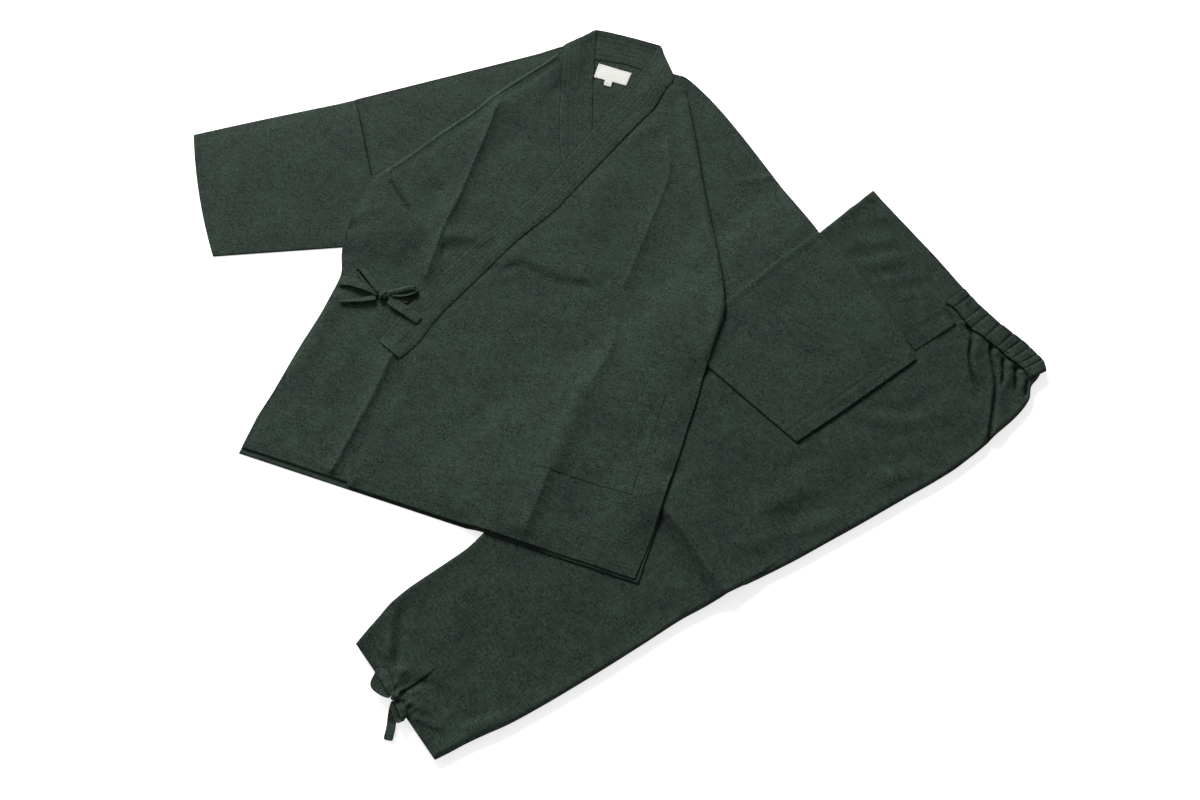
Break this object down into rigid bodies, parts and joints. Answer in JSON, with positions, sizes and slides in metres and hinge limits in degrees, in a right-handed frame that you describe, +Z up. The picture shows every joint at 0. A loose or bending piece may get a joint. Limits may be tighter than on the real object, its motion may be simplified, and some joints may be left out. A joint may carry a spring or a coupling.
{
  "type": "samue set, jacket and trousers laid flat",
  "caption": "Samue work set laid flat: a wrap jacket with a band collar, patch pocket and side tie, over folded trousers with a gathered waist and an ankle tie.",
  "frame": {"origin": "middle of the laid-out set's bounding box, at the surface it lies on", "axes": "+Z up from the surface, +X towards the trousers' waist side, +Y towards the jacket's neck"},
  "size_m": [1.2516, 1.1182, 0.019],
  "materials": {
    "slub_cotton": "matte dark green slub weave",
    "woven_label": "cream woven tape, bare"
  },
  "bodies": {
    "root": {"legs_folded_under": "slub_cotton", "left_leg_front": "slub_cotton", "left_leg_back": "slub_cotton", "waistband": "slub_cotton", "pocket_welt": "slub_cotton", "back": "slub_cotton", "neckband_back": "slub_cotton", "sleeve_right": "slub_cotton", "sleeve_left": "slub_cotton", "front_right_shoulder": "slub_cotton", "front_left_shoulder": "slub_cotton", "front_right": "slub_cotton", "label": "woven_label", "size_tab": "woven_label", "neckband_right": "slub_cotton", "front_left": "slub_cotton", "neckband_left": "slub_cotton", "pocket": "slub_cotton", "tie_from_side": "slub_cotton", "tie_from_band": "slub_cotton", "tie_tail_left": "slub_cotton", "tie_tail_right": "slub_cotton", "tie_loop_left": "slub_cotton", "tie_loop_right": "slub_cotton", "tie_knot": "slub_cotton", "ankle_tail": "slub_cotton", "ankle_loop_left": "slub_cotton", "ankle_loop_right": "slub_cotton", "ankle_knot": "slub_cotton"}
  },
  "joints": []
}
